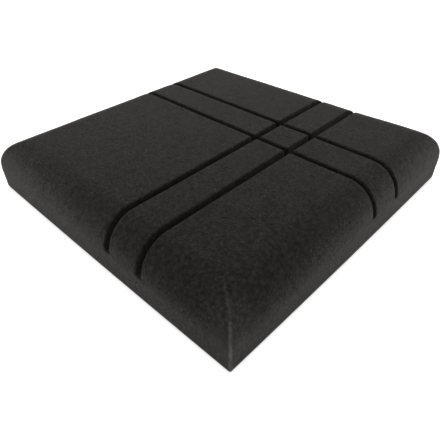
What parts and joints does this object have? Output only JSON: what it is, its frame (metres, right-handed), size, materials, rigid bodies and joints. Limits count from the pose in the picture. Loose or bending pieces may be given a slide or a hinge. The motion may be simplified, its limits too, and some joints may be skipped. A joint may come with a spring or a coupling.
{
  "type": "acoustic foam panel",
  "caption": "Square foam wall tile with rolled-over edges, crossing slots in its face, and adhesive pads on its back.",
  "frame": {"origin": "under the middle of the tile, in the plane that the release liners lie on", "axes": "+Z out of the sound-absorbing face, +X towards the right side and +Y towards the back side, which the slots lie nearer to"},
  "size_m": [0.305, 0.305, 0.0521],
  "materials": {
    "foam": "matt open-cell polyurethane foam",
    "tape": "foam tape",
    "liner": "silicone-coated paper"
  },
  "bodies": {
    "root": {"foam_tile": "foam", "fixing_pad_centre": "tape", "fixing_pad_front_left": "tape", "fixing_pad_front_right": "tape", "fixing_pad_back_left": "tape", "fixing_pad_back_right": "tape", "release_liner_centre": "liner", "release_liner_front_left": "liner", "release_liner_front_right": "liner", "release_liner_back_left": "liner", "release_liner_back_right": "liner"}
  },
  "joints": []
}
